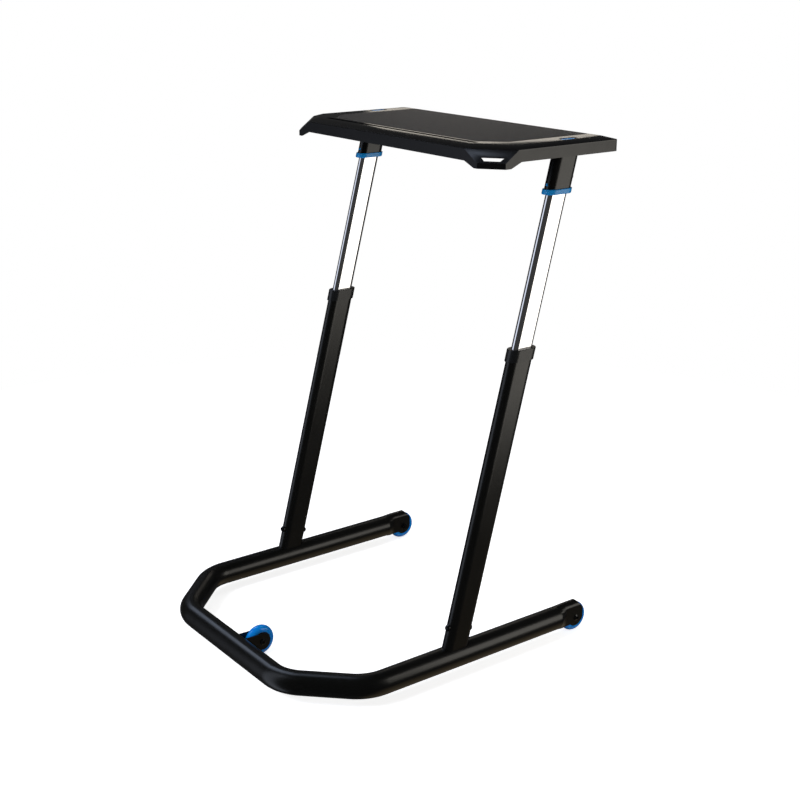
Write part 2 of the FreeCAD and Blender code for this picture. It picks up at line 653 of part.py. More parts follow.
def domed_screw(body, plane, seat, shank_length, shank, head, level="0", tall="head_height"):
    """Turned screw along the sketch's X: a domed head stands out past its seat, the shank runs back."""
    end = f"({seat} - ({shank_length}))"
    dome = f"({seat} + {tall})"
    profile = outline(new_sketch(body, plane), [
        (end, level),
        (dome, level),
        (dome, f"{level} + {head} * head_flat"),
        (f"{seat} + {tall} * head_rim", f"{level} + {head} / 2"),
        (seat, f"{level} + {head} / 2"),
        (seat, f"{level} + {shank} / 2"),
        (end, f"{level} + {shank} / 2"),
    ])
    return revolve(body, profile, "Edge1")


def hexagon(sketch, across):
    """A hexagon about the sketch's origin, given by the width across its flats."""
    reach = f"({across} / 2)"
    corner = f"({across} / sqrt(3))"
    return outline(sketch, [
        (reach, f"-{corner} / 2"),
        (reach, f"{corner} / 2"),
        ("0", corner),
        (f"-{reach}", f"{corner} / 2"),
        (f"-{reach}", f"-{corner} / 2"),
        ("0", f"-{corner}"),
    ])


def axle_set(bolt_name, nut_name, x, y, outside, sign):
    """Axle bolt with its head on the outside of the fork, and the nut on the other side."""
    turn = "0" if sign > 0 else "180"
    bolt = new_body(bolt_name, x, y, AXLE_Z, turn=turn)
    domed_screw(bolt, "XZ", outside, f"2 * {outside} + nut_height + bolt_tail", "axle_dia", "head_dia")
    socket = hexagon(new_sketch(bolt, "YZ", f"{outside} + head_height"), "hex_socket")
    pocket(bolt, socket, "hex_depth")
    nut = new_body(nut_name, x, y, AXLE_Z, turn=turn)
    faces = hexagon(new_sketch(nut, "YZ", f"-({outside} + nut_height)"), "nut_dia")
    pad(nut, faces, "nut_height")
    bore = circle(new_sketch(nut, "YZ"), "0", "0", "axle_dia / 2 + axle_fit")
    pocket(nut, bore, both_ways=True)


def axle_washers(name, x, y):
    """Two washers that fill the play between the bearings and the fork, seated on the fork."""
    body = new_body(name, x, y, AXLE_Z)
    body.AllowCompound = True
    ring = new_sketch(body, "YZ", "wheel_width / 2")
    circle(ring, "0", "0", "axle_dia / 2 + race_thick")
    circle(ring, "0", "0", "axle_dia / 2 + axle_fit")
    mirror(body, [pad(body, ring, "fork_play")], "YZ")


def foot_saddle(body, reach):
    """Hollow a leaning piece's foot to the round of the base tube."""
    sketch = new_sketch(body, "YZ")
    along = "(leg_long * 2)"
    back = (f"-{along} * cos(leg_lean)", f"-{along} * sin(leg_lean)")
    ahead = (f"{along} * cos(leg_lean)", f"{along} * sin(leg_lean)")
    outline(sketch, [
        back,
        ahead,
        (f"{ahead[0]} - ({reach}) * sin(leg_lean)", f"{ahead[1]} + ({reach}) * cos(leg_lean)"),
        (f"{back[0]} - ({reach}) * sin(leg_lean)", f"{back[1]} + ({reach}) * cos(leg_lean)"),
    ])
    feature = body.newObject("PartDesign::Groove", body.Label + "_saddle")
    feature.Profile = sketch
    feature.ReferenceAxis = (sketch, ["Edge1"])
    feature.Angle = 360


def side_holes(body, height, radius):
    """A round hole through both of the leg's round ends."""
    hole = circle(new_sketch(body, "XZ"), "0", height, radius)
    pocket(body, hole, both_ways=True)


def lower_leg(side, sign):
    body = leg_body("lower_leg_" + side, sign)
    section = new_sketch(body, "XY")
    flat_oval(section, "leg_long", "leg_short")
    flat_oval(section, LEG_IN_LONG, LEG_IN_SHORT)
    pad(body, section, "leg_top")
    foot_saddle(body, f"{TUBE_R} + saddle_gap")
    side_holes(body, "bolt_rise", "bolt_dia / 2 + bolt_hole_play")


def leg_spigot(side, sign):
    """Stub welded to the base tube that the outer leg slips over and is bolted to."""
    body = leg_body("leg_spigot_" + side, sign)
    section = new_sketch(body, "XY")
    for inset in ("spigot_gap", "spigot_gap + spigot_wall"):
        flat_oval(section, f"{LEG_IN_LONG} - 2 * ({inset})", f"{LEG_IN_SHORT} - 2 * ({inset})")
    pad(body, section, "spigot_top")
    foot_saddle(body, TUBE_R)
    side_holes(body, "bolt_rise", "bolt_dia / 2 + bolt_hole_play")


def leg_bolts(side, sign):
    body = leg_body("leg_bolts_" + side, sign)
    body.AllowCompound = True
    bolt = domed_screw(body, "YZ", "leg_long / 2", "bolt_length", "bolt_dia", "head_dia", "bolt_rise",
                       "leg_head_height")
    mirror(body, [bolt], "XZ")


def leg_nuts(side, sign):
    """Nuts welded inside the spigot for the leg bolts."""
    body = leg_body("leg_nuts_" + side, sign)
    body.AllowCompound = True
    round_radius = f"({LEG_IN_SHORT} / 2 - spigot_gap - spigot_wall)"
    chord = f"sqrt({round_radius} * {round_radius} - nut_dia * nut_dia / 4)"
    face = f"(({LEG_IN_LONG} - {LEG_IN_SHORT}) / 2 + {chord})"
    ring = new_sketch(body, "XZ", f"-{face}")
    circle(ring, "0", "bolt_rise", "nut_dia / 2")
    circle(ring, "0", "bolt_rise", "bolt_dia / 2 + axle_fit")
    mirror(body, [pad(body, ring, "nut_height")], "XZ")


def floor_height(station):
    """Height above the floor of a station on a leg's centre line."""
    return f"(tube_height + ({station}) * cos(leg_lean))"


def level_cut(body, height, below=False):
    """Cut a leaning piece off level at a height above the floor, and take away what is above or below."""
    rise = f"(({height}) - tube_height)"
    reach = "leg_long"
    near = f"({rise} / cos(leg_lean) - {reach} * tan(leg_lean))"
    far = f"({rise} / cos(leg_lean) + {reach} * tan(leg_lean))"
    end = f"({near} - leg_long)" if below else f"({far} + leg_long)"
    waste = outline(new_sketch(body, "YZ"), [
        (f"-{reach}", near),
        (reach, far),
        (reach, end),
        (f"-{reach}", end),
    ])
    pocket(body, waste, both_ways=True)


def level_band(body, low, high, long_side, short_side):
    """A leaning oval between two stations on the leg's line, cut off level at both ends."""
    start = f"({low} - leg_short)"
    oval = flat_oval(new_sketch(body, "XY", start), long_side, short_side)
    pad(body, oval, f"{high} - {low} + 2 * leg_short")
    level_cut(body, floor_height(high))
    level_cut(body, floor_height(low), below=True)


def leg_collar(side, sign):
    """Moulded collar on the outer leg's mouth, with a liner that guides the inner leg."""
    body = leg_body("leg_collar_" + side, sign)
    level_band(body, f"({COLLAR_TOP} - collar_height)", COLLAR_TOP, "collar_long", "collar_short")
    tube = flat_oval(new_sketch(body, "XY", "leg_top"), "leg_long + 2 * seat_gap", "leg_short + 2 * seat_gap")
    pocket(body, tube, "leg_top")
    round_edges(body, "collar_round", lambda edge: level_rim(edge, COLLAR_TOP))
    liner = flat_oval(new_sketch(body, "XY", "leg_top"), f"{LEG_IN_LONG} - 2 * seat_gap",
                      f"{LEG_IN_SHORT} - 2 * seat_gap")
    pad(body, liner, "collar_liner", back=True)
    bore = flat_oval(new_sketch(body, "XY"), "inner_long + 2 * slide_gap", "inner_short + 2 * slide_gap")
    pocket(body, bore, back=True)


def inner_leg(side, sign):
    body = leg_body("inner_leg_" + side, sign)
    section = new_sketch(body, "XY", "inner_bottom")
    flat_oval(section, "inner_long", "inner_short")
    flat_oval(section, INNER_IN_LONG, INNER_IN_SHORT)
    pad(body, section, "inner_top - inner_bottom")
    hole = circle(new_sketch(body, "XZ"), "0", f"{RING_TOP} + sleeve_screw_rise",
                  "sleeve_screw_dia / 2 + bolt_hole_play")
    pocket(body, hole)


def guide_foot(side, sign):
    """Plastic foot of the inner leg: slides in the outer leg and carries the brake shoes."""
    body = leg_body("guide_foot_" + side, sign)
    foot = flat_oval(new_sketch(body, "XY", FOOT_BOTTOM), f"{LEG_IN_LONG} - 2 * foot_gap",
                     f"{LEG_IN_SHORT} - 2 * foot_gap")
    pad(body, foot, "foot_length")
    plug = flat_oval(new_sketch(body, "XY", "inner_bottom"), f"{INNER_IN_LONG} - 2 * seat_gap",
                     f"{INNER_IN_SHORT} - 2 * seat_gap")
    pad(body, plug, "foot_plug")
    rod = circle(new_sketch(body, "XY", FOOT_BOTTOM), "0", "0", "rod_dia / 2 + rod_gap")
    pocket(body, rod, back=True)
    space = rectangle(new_sketch(body, "XY", FOOT_BOTTOM), "-cavity_short / 2", "-cavity_long / 2",
                      "cavity_short / 2", "cavity_long / 2")
    pocket(body, space, "cavity_depth", back=True)
    low = f"({FOOT_BOTTOM} + shoe_rise - shoe_gap)"
    window = rectangle(new_sketch(body, "XZ"), "-(shoe_width / 2 + shoe_gap)", low,
                       "shoe_width / 2 + shoe_gap", f"{low} + shoe_height + 2 * shoe_gap")
    pocket(body, window, both_ways=True)


def wedge_half(height):
    """Half thickness of the wedge at a height above the guide foot's lower face."""
    return f"(wedge_half_bottom - (({height}) - wedge_rise) * wedge_slope)"


def brake_shoe(side, sign, end, way):
    """Shoe in the guide foot's window, pressed on the outer leg's round end by the wedge."""
    body = leg_body(f"brake_shoe_{end}_{side}", sign)
    half = "(shoe_width / 2)"
    centre = f"(({LEG_IN_LONG} - {LEG_IN_SHORT}) / 2)"
    radius = f"({LEG_IN_SHORT} / 2 - foot_gap)"
    shoulder = f"({centre} + sqrt({radius} * {radius} - {half} * {half}))"
    plan = new_sketch(body, "XY", f"{FOOT_BOTTOM} + shoe_rise")
    outline(plan, [
        (f"-{half}", "0"),
        (f"-{half}", f"{way} * {shoulder}", "0", f"{way} * {centre}", -way),
        (half, f"{way} * {shoulder}"),
        (half, "0"),
    ])
    pad(body, plan, "shoe_height")
    low = "(shoe_rise - past)"
    high = "(shoe_rise + shoe_height + past)"
    clear = new_sketch(body, "YZ")
    outline(clear, [
        ("0", f"{FOOT_BOTTOM} + {low}"),
        (f"{way} * ({wedge_half(low)} + shoe_gap)", f"{FOOT_BOTTOM} + {low}"),
        (f"{way} * ({wedge_half(high)} + shoe_gap)", f"{FOOT_BOTTOM} + {high}"),
        ("0", f"{FOOT_BOTTOM} + {high}"),
    ])
    pocket(body, clear, both_ways=True)


def push_rod(side, sign):
    """Rod from the release button down to its wedge between the brake shoes."""
    body = leg_body("push_rod_" + side, sign)
    start = f"({FOOT_BOTTOM} + wedge_rise + wedge_height)"
    rod = circle(new_sketch(body, "XY", start), "0", "0", "rod_dia / 2")
    pad(body, rod, f"(top_z - tube_height) / cos(leg_lean) - {start}")
    level_cut(body, BUTTON_SEAT_Z)
    wedge = leg_body("brake_wedge_" + side, sign)
    low = f"({FOOT_BOTTOM} + wedge_rise)"
    top = wedge_half("wedge_rise + wedge_height")
    shape = outline(new_sketch(wedge, "YZ"), [
        ("-wedge_half_bottom", low),
        ("wedge_half_bottom", low),
        (top, start),
        (f"-{top}", start),
    ])
    pad(wedge, shape, "wedge_width", both_ways=True)


def upper_sleeve(side, sign):
    body = leg_body("upper_sleeve_" + side, sign)
    start = f"({RING_TOP} - leg_short)"
    section = new_sketch(body, "XY", start)
    flat_oval(section, "leg_long", "leg_short")
    flat_oval(section, LEG_IN_LONG, LEG_IN_SHORT)
    pad(body, section, f"({BRACKET_Z} - tube_height) / cos(leg_lean) + leg_short - {start}")
    level_cut(body, BRACKET_Z)
    level_cut(body, floor_height(RING_TOP), below=True)
    screw = circle(new_sketch(body, "XZ"), "0", f"{RING_TOP} + sleeve_screw_rise",
                   "sleeve_screw_dia / 2 + bolt_hole_play")
    pocket(body, screw)
    tab = new_sketch(body, "XZ")
    rectangle(tab, "-tab_width / 2 - seat_gap", f"{TAB_LOW} - seat_gap",
              "tab_width / 2 + seat_gap", f"{TAB_LOW} + tab_height + seat_gap")
    pocket(body, tab, back=True)


def trim_ring(side, sign):
    """Blue ring at the sleeve's mouth. Its liner fills the sleeve and snaps in with a tab."""
    body = leg_body("trim_ring_" + side, sign)
    level_band(body, "ring_bottom", RING_TOP, "ring_long", "ring_short")
    round_edges(body, "ring_round", lambda edge: level_rim(edge, "ring_bottom") or level_rim(edge, RING_TOP))
    liner = flat_oval(new_sketch(body, "XY", "ring_bottom"), f"{LEG_IN_LONG} - 2 * seat_gap",
                      f"{LEG_IN_SHORT} - 2 * seat_gap")
    pad(body, liner, "ring_height + ring_liner")
    level_cut(body, floor_height("ring_bottom"), below=True)
    tab = rectangle(new_sketch(body, "XZ"), "-tab_width / 2", TAB_LOW, "tab_width / 2",
                    f"{TAB_LOW} + tab_height")
    pad(body, tab, "leg_long / 2 + tab_proud")
    bore = flat_oval(new_sketch(body, "XY"), "inner_long + 2 * seat_gap", "inner_short + 2 * seat_gap")
    pocket(body, bore, back=True)
    screw = circle(new_sketch(body, "XZ"), "0", f"{RING_TOP} + sleeve_screw_rise",
                   "sleeve_screw_dia / 2 + bolt_hole_play")
    pocket(body, screw)


def sleeve_screw(side, sign):
    body = leg_body("sleeve_screw_" + side, sign)
    domed_screw(body, "YZ", "leg_long / 2", "sleeve_screw_length", "sleeve_screw_dia", "sleeve_head_dia",
                f"({RING_TOP} + sleeve_screw_rise)")


def desk_outline(sketch, inset, corner, bevelled="0"):
    """The desktop seen from above: cut front corners, rounded rear corners, moved in by an inset."""
    half = f"(desk_half - {bevelled} - {inset})"
    front = f"(desk_front + {bevelled} + {inset})"
    rear = f"(desk_rear - {bevelled} - {inset})"
    run = f"({corner} - {inset} * (1 + 1 / corner_slant - sqrt(1 + 1 / (corner_slant * corner_slant))))"
    cut = f"({run} * corner_slant)"
    turn = "rear_corner_radius"
    return outline(sketch, [
        (f"{half} - {run}", front),
        (half, f"{front} + {cut}"),
        (half, f"{rear} - {turn}", f"{half} - {turn}", f"{rear} - {turn}", 1),
        (f"{half} - {turn}", rear),
        (f"-({half} - {turn})", rear, f"-({half} - {turn})", f"{rear} - {turn}", 1),
        (f"-{half}", f"{rear} - {turn}"),
        (f"-{half}", f"{front} + {cut}"),
        (f"-({half} - {run})", front),
    ])


def long_slot(sketch, half, front, width):
    """A slot across the desk with half round ends."""
    middle = f"({front} + {width} / 2)"
    end = f"({half} - {width} / 2)"
    return outline(sketch, [
        (f"-{end}", front),
        (end, front, end, middle, 1),
        (end, f"{front} + {width}"),
        (f"-{end}", f"{front} + {width}", f"-{end}", middle, 1),
    ])


def mat_outline(sketch, grow):
    half = f"(mat_half + {grow})"
    front = f"(mat_front - {grow})"
    rear = f"(mat_rear + {grow})"
    return outline(sketch, [
        (f"-({half} - mat_corner)", front),
        (f"{half} - mat_corner", front),
        (half, f"{front} + mat_corner"),
        (half, rear),
        (f"-{half}", rear),
        (f"-{half}", f"{front} + mat_corner"),
    ])


def screw_spots():
    """Where the brackets and the cross rail are screwed to the desktop."""
    spots = []
    for sign in (-1, 1):
        for x in ("bracket_inner_x + bracket_screw_in", "bracket_outer_x - bracket_screw_in"):
            for way in (-1, 1):
                spots.append((f"{sign} * ({x})", f"{LEG_Y_AT_BRACKET} + {way} * bracket_screw_y"))
        for place in ("rail_screw_x", "rail_screw_far"):
            spots.append((f"{sign} * {place}", LEG_Y_AT_BRACKET))
    return spots


def desktop():
    """Moulded shell, open below: sloping border, corner facets with handle slots, ribs and cups."""
    body = new_body("desktop")
    skirt = "(top_z - skirt_drop)"
    lip = "(top_z - lip_drop)"
    bevel = "(top_z - bevel_drop)"
    outer = [
        desk_outline(new_sketch(body, "XY", lip), "0", "corner_low"),
        desk_outline(new_sketch(body, "XY", skirt), "0", "corner_low"),
        desk_outline(new_sketch(body, "XY", bevel), "0", "corner_bevel"),
        desk_outline(new_sketch(body, "XY", "top_z"), "0", "corner_top", "bevel_width"),
    ]
    loft(body, outer)
    inner = [
        desk_outline(new_sketch(body, "XY", lip), "skirt_wall", "corner_low"),
        desk_outline(new_sketch(body, "XY", skirt), "skirt_wall", "corner_low"),
        desk_outline(new_sketch(body, "XY", f"{bevel} - top_wall"), "skirt_wall", "corner_bevel"),
        desk_outline(new_sketch(body, "XY", "top_z - top_wall"), "skirt_wall", "corner_top", "bevel_width"),
    ]
    loft(body, inner, cut=True)
    under = f"({lip} - past)"
    front = outline(new_sketch(body, "XZ"), [
        ("-lip_start_x", skirt),
        ("lip_start_x", skirt),
        ("lip_end_x", lip),
        ("lip_end_x", under),
        ("-lip_end_x", under),
        ("-lip_end_x", lip),
    ])
    pocket(body, front, both_ways=True)
    flank = outline(new_sketch(body, "YZ"), [
        ("lip_start_y", skirt),
        ("desk_rear + past", skirt),
        ("desk_rear + past", under),
        ("lip_end_y", under),
        ("lip_end_y", lip),
    ])
    pocket(body, flank, both_ways=True)
    buried = "(top_z - top_wall / 2)"
    groove_rear = "(groove_front + groove_width)"
    trough = rectangle(new_sketch(body, "XY", buried), "-(groove_half + cup_wall)", "groove_front - cup_wall",
                       "groove_half + cup_wall", f"{groove_rear} + cup_wall")
    pad(body, trough, "groove_depth + cup_wall - top_wall / 2", back=True)
    rib = "(rib_depth + top_wall / 2)"
    across = rectangle(new_sketch(body, "XY", buried), "-rib_half", "rib_first_y - rib_thick / 2",
                       "rib_half", "rib_first_y + rib_thick / 2")
    repeat(body, [pad(body, across, rib, back=True)], "Y", "(rib_rows - 1) * rib_pitch_y", "rib_rows")
    last = rectangle(new_sketch(body, "XY", buried), "-rib_half", "rib_last_y - rib_thick / 2",
                     "rib_half", "rib_last_y + rib_thick / 2")
    pad(body, last, rib, back=True)
    span = "((rib_columns - 1) * rib_pitch_x)"
    along = rectangle(new_sketch(body, "XY", buried), f"-{span} / 2 - rib_thick / 2", "rib_front_y",
                      f"-{span} / 2 + rib_thick / 2", "rib_rear_y")
    repeat(body, [pad(body, along, rib, back=True)], "X", span, "rib_columns")
    bosses = new_sketch(body, "XY", buried)
    for x, y in screw_spots():
        circle(bosses, x, y, "boss_dia / 2")
    pad(body, bosses, f"{buried} - bracket_top_z", back=True)
    for sign in (-1, 1):
        cup = flat_oval(new_sketch(body, "XY", buried), "recess_long + 2 * cup_wall",
                        "recess_short + 2 * cup_wall", f"{sign} * arm_x", LEG_Y_AT_TOP)
        pad(body, cup, f"{buried} - bracket_top_z", back=True)
    for sign in (-1, 1):
        recess = flat_oval(new_sketch(body, "XY", "top_z"), "recess_long", "recess_short",
                           f"{sign} * arm_x", LEG_Y_AT_TOP)
        pocket(body, recess, "top_z - bracket_top_z - cup_floor")
        rod = circle(new_sketch(body, "XY", "top_z"), f"{sign} * arm_x", LEG_Y_AT_BRACKET, "rod_hole_dia / 2")
        pocket(body, rod)
    pilots = new_sketch(body, "XY", "bracket_top_z")
    for x, y in screw_spots():
        circle(pilots, x, y, "screw_dia / 2 + screw_play")
    pocket(body, pilots, "screw_length", back=True)
    pocket(body, long_slot(new_sketch(body, "XY", "top_z"), "groove_half", "groove_front", "groove_width"),
           "groove_depth")
    pocket(body, mat_outline(new_sketch(body, "XY", "top_z"), "mat_gap"), "mat_recess")
    turn = "atan(corner_slant)"
    facet = f"placement(vector(desk_half; 0; -(desk_front)); rotation(vector(0; 1; 0); {turn}))"
    slot = new_sketch(body, "XZ", place=facet)
    middle = f"(-corner_low / 2 * cos(2 * {turn}) / cos({turn}))"
    outline(slot, [
        (f"{middle} - slot_bottom_long / 2", "slot_bottom"),
        (f"{middle} + slot_bottom_long / 2", "slot_bottom"),
        (f"{middle} + slot_top_long / 2", "slot_top"),
        (f"{middle} - slot_top_long / 2", "slot_top"),
    ])
    mirror(body, [pocket(body, slot, "corner_bevel")], "YZ")


def desk_mat():
    """Rubber mat laid in the desktop, with a row of raised dashes along the rider's edge."""
    body = new_body("desk_mat")
    pad(body, mat_outline(new_sketch(body, "XY", "top_z - mat_recess"), "0"), "mat_thick")
    first = "(-dash_span / 2)"
    top = "(top_z - mat_recess + mat_thick)"
    dash = rectangle(new_sketch(body, "XY", f"{top} - mat_thick / 2"), f"{first} - dash_long / 2",
                     "mat_rear - dash_inset - dash_wide / 2", f"{first} + dash_long / 2",
                     "mat_rear - dash_inset + dash_wide / 2")
    repeat(body, [pad(body, dash, "mat_thick / 2 + dash_high")], "X", "dash_span",
           "dash_count")


def leg_bracket(side, sign):
    """Plate welded on the sleeve and screwed under the desktop."""
    body = new_body("leg_bracket_" + side)
    low = "bracket_inner_x" if sign > 0 else "-bracket_outer_x"
    high = "bracket_outer_x" if sign > 0 else "-bracket_inner_x"
    front = f"({LEG_Y_AT_BRACKET} - bracket_half_y)"
    rear = f"({LEG_Y_AT_BRACKET} + bracket_half_y)"
    turn = "bracket_corner"
    plate = outline(new_sketch(body, "XY", BRACKET_Z), [
        (f"{low} + {turn}", front),
        (f"{high} - {turn}", front, f"{high} - {turn}", f"{front} + {turn}", 1),
        (high, f"{front} + {turn}"),
        (high, f"{rear} - {turn}", f"{high} - {turn}", f"{rear} - {turn}", 1),
        (f"{high} - {turn}", rear),
        (f"{low} + {turn}", rear, f"{low} + {turn}", f"{rear} - {turn}", 1),
        (low, f"{rear} - {turn}"),
        (low, f"{front} + {turn}", f"{low} + {turn}", f"{front} + {turn}", 1),
    ])
    pad(body, plate, "bracket_thick")
    holes = new_sketch(body, "XY", BRACKET_Z)
    for x, y in screw_spots():
        if size(low) < size(x) < size(high):
            circle(holes, x, y, "screw_dia / 2 + bolt_hole_play")
    circle(holes, f"{sign} * arm_x", LEG_Y_AT_BRACKET, "rod_hole_dia / 2")
    pocket(body, holes, back=True)


def cross_rail():
    """Channel of folded steel that ties the two leg brackets."""
    body = new_body("cross_rail")
    near = f"({LEG_Y_AT_BRACKET} - rail_width / 2)"
    far = f"({LEG_Y_AT_BRACKET} + rail_width / 2)"
    low = "(bracket_top_z - rail_depth)"
    section = outline(new_sketch(body, "YZ"), [
        (near, low),
        (f"{near} + rail_wall", low),
        (f"{near} + rail_wall", BRACKET_Z),
        (f"{far} - rail_wall", BRACKET_Z),
        (f"{far} - rail_wall", low),
        (far, low),
        (far, "bracket_top_z"),
        (near, "bracket_top_z"),
    ])
    pad(body, section, "2 * bracket_inner_x", both_ways=True)
    holes = new_sketch(body, "XY", BRACKET_Z)
    for x, y in screw_spots():
        if abs(size(x)) < size("bracket_inner_x"):
            circle(holes, x, y, "screw_dia / 2 + bolt_hole_play")
    pocket(body, holes, back=True)


def desktop_screws():
    body = new_body("desktop_screws")
    body.AllowCompound = True
    heads = new_sketch(body, "XY", BRACKET_Z)
    shanks = new_sketch(body, "XY", BRACKET_Z)
    for x, y in screw_spots():
        circle(heads, x, y, "screw_head_dia / 2")
        circle(shanks, x, y, "screw_dia / 2")
    pad(body, heads, "screw_head_height", back=True)
    pad(body, shanks, "screw_length")


def release_button(side, sign):
    """Blue cap in the desktop's recess, pressed along the leg by a thumb."""
    body = new_body("release_button_" + side, f"{sign} * arm_x", LEG_Y_AT_TOP, BUTTON_TOP_Z)
    outer = flat_oval(new_sketch(body, "XY"), "button_long", "button_short")
    pad(body, outer, "button_top + button_skirt", back=True)
    round_edges(body, "button_round", lambda edge: at_height(edge, 0))
    inner = flat_oval(new_sketch(body, "XY", "-button_top"), "button_long - 2 * button_wall",
                      "button_short - 2 * button_wall")
    pocket(body, inner)


def return_spring(side, sign):
    """Return spring between the cup's floor and the button, as the sleeve that its turns fill."""
    body = new_body("return_spring_" + side, f"{sign} * arm_x", SPRING_Y, SPRING_BOTTOM)
    ring = new_sketch(body, "XY")
    circle(ring, "0", "0", "(spring_coil_dia + spring_wire) / 2")
    circle(ring, "0", "0", "(spring_coil_dia - spring_wire) / 2")
    pad(body, ring, f"{SPRING_TOP} - {SPRING_BOTTOM}")


base_frame()
front_fork_plates()
wheel("front", "0", "front_axle_y")
for side, sign in SIDES:
    wheel("rear_" + side, f"{sign} * arm_x", "rear_axle_y")
axle_set("front_axle_bolt", "front_axle_nut", "0", "front_axle_y", f"({GAP_HALF} + plate_thick)", 1)
axle_washers("front_axle_washers", "0", "front_axle_y")
for side, sign in SIDES:
    arm = f"{sign} * arm_x"
    axle_set("rear_axle_bolt_" + side, "rear_axle_nut_" + side, arm, "rear_axle_y", CHEEK_HALF, sign)
    axle_washers("rear_axle_washers_" + side, arm, "rear_axle_y")
    lower_leg(side, sign)
    leg_spigot(side, sign)
    leg_bolts(side, sign)
    leg_nuts(side, sign)
    leg_collar(side, sign)
    inner_leg(side, sign)
    guide_foot(side, sign)
    for end, way in (("front", -1), ("rear", 1)):
        brake_shoe(side, sign, end, way)
    push_rod(side, sign)
    upper_sleeve(side, sign)
    trim_ring(side, sign)
    sleeve_screw(side, sign)
    leg_bracket(side, sign)
    release_button(side, sign)
    return_spring(side, sign)
desktop()
desk_mat()
cross_rail()
desktop_screws()

doc.recompute()
faults = [item.Label for item in doc.Objects if "Invalid" in item.State or "Error" in item.State]
faults += [node.Label for node in nodes if node.Shape.isNull() or not node.Shape.isValid()]
if faults:
    raise RuntimeError("these did not build: " + ", ".join(faults))
os.makedirs("parts", exist_ok=True)
for node in nodes:
    node.Shape.exportStep(f"parts/{node.Label}.step")
print(len(nodes), "nodes written")
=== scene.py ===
import bmesh
import bpy
import json
import math
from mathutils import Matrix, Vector


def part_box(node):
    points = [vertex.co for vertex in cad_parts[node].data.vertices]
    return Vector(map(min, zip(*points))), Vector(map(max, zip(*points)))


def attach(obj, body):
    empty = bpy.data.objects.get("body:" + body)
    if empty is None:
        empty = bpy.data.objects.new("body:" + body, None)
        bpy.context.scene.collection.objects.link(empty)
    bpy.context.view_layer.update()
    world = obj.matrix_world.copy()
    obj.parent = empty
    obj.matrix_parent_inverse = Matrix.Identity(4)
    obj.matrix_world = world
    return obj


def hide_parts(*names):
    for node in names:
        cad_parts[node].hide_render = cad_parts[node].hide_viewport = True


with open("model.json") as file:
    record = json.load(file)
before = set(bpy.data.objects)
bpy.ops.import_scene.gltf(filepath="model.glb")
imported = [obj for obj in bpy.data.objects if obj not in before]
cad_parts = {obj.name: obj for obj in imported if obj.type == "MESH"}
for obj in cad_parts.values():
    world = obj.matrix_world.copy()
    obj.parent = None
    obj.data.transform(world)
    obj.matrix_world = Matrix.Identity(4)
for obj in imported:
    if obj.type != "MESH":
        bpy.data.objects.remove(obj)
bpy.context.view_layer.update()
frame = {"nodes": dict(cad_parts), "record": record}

bl_info = {
    "name": "Bike Trainer Desk",
    "version": (1, 0, 0),
    "blender": (4, 5, 0),
    "location": "3D View > Sidebar > Desk",
    "description": "Finishes and stage for a wheeled, height-adjustable desk for a bike trainer",
    "category": "Object",
}

SIDES = ("left", "right")
WHEELS = ("front", "rear_left", "rear_right")
MM = 0.001
MERGE_DISTANCE = 0.001 * MM
# Faces that turn less than the first angle are joined, and edges that turn more than the second are rounded
FLAT_ANGLE = math.radians(0.5)
SHARP_ANGLE = math.radians(28)
# Sockets of a Mix node that mixes colours
MIX_A, MIX_B, MIX_RESULT = 6, 7, 2
# The arms' squeezed ends, in millimetres: where they start and turn flat before the rear edge, the tube's
# middle and wall, and the room left over a tyre
SQUEEZE_LONG = 81
CHEEK_LONG = 54
TUBE_MIDDLE = 47.5
TUBE_WALL = 2
TYRE_ROOM = 2
# How far below its highest point the desktop turns from skirt to border, in millimetres, and how rough
# each of them is
SKIRT_DOWN = 9
BORDER_DOWN = 7
SKIRT_ROUGH = 0.34
BORDER_ROUGH = 0.16
# What lights the desk evenly from all round, the sides of the floor's disc and how much it glows by itself
DIM_GLOW = 0.25
FLOOR_SIDES = 96
FLOOR_GLOW = 0.75


def srgb(code):
    """A hex colour as the linear values that a shader takes."""
    parts = [int(code[i:i + 2], 16) / 255 for i in (0, 2, 4)]
    return tuple(p / 12.92 if p <= 0.04045 else ((p + 0.055) / 1.055) ** 2.4 for p in parts)


def colour(name, words, code):
    """A colour that the panel lists, from its hex code."""
    return bpy.props.FloatVectorProperty(name=name, description=words, subtype="COLOR", size=3, min=0, max=1,
                                         default=srgb(code))


def millimetres(name, words, value):
    """A small size that the panel lists, in millimetres."""
    return bpy.props.FloatProperty(name=name, description=words + ", in millimetres", default=value,
                                   min=0.01)


def metres(name, words, value):
    """A distance that the panel lists, in metres."""
    return bpy.props.FloatProperty(name=name, description=words, default=value, unit="LENGTH")


def degrees(name, words, value):
    """An angle that the panel lists, given in degrees."""
    return bpy.props.FloatProperty(name=name, description=words, default=math.radians(value),
                                   subtype="ANGLE")


class DeskFinishes(bpy.types.PropertyGroup):
    """Colours and surface sizes that a maker would choose."""
    coat_colour: colour("Powder coat", "Pigment of the coated steel", "060605")
    peel_size: millimetres("Coat peel", "Width of the waves in the powder coat", 1.6)
    shell_colour: colour("Moulded shell", "Pigment of the desktop's ABS", "050506")
    spark_grain: millimetres("Shell grain", "Grain left by the spark-eroded mould", 0.9)
    shell_edge: millimetres("Shell edges", "Rounding of the shell's moulded edges", 0.8)
    cut_edge: millimetres("Cut edges", "Rounding of sawn and laser-cut steel under its coat", 0.5)
    mat_colour: colour("Mat", "Pigment of the rubber mat", "35322E")
    mat_grain: millimetres("Mat grain", "Width of the leather-like cells of the mat", 2.4)
    blue_colour: colour("Blue plastic", "Pigment of the rings and buttons", "0488CE")
    tyre_colour: colour("Tyre", "Pigment of the cast polyurethane", "0080D6")
    nylon_colour: colour("Black nylon", "Pigment of the guides and hubs", "101112")
    bolt_colour: colour("Black bolts", "Oxide layer of the bolts", "060607")


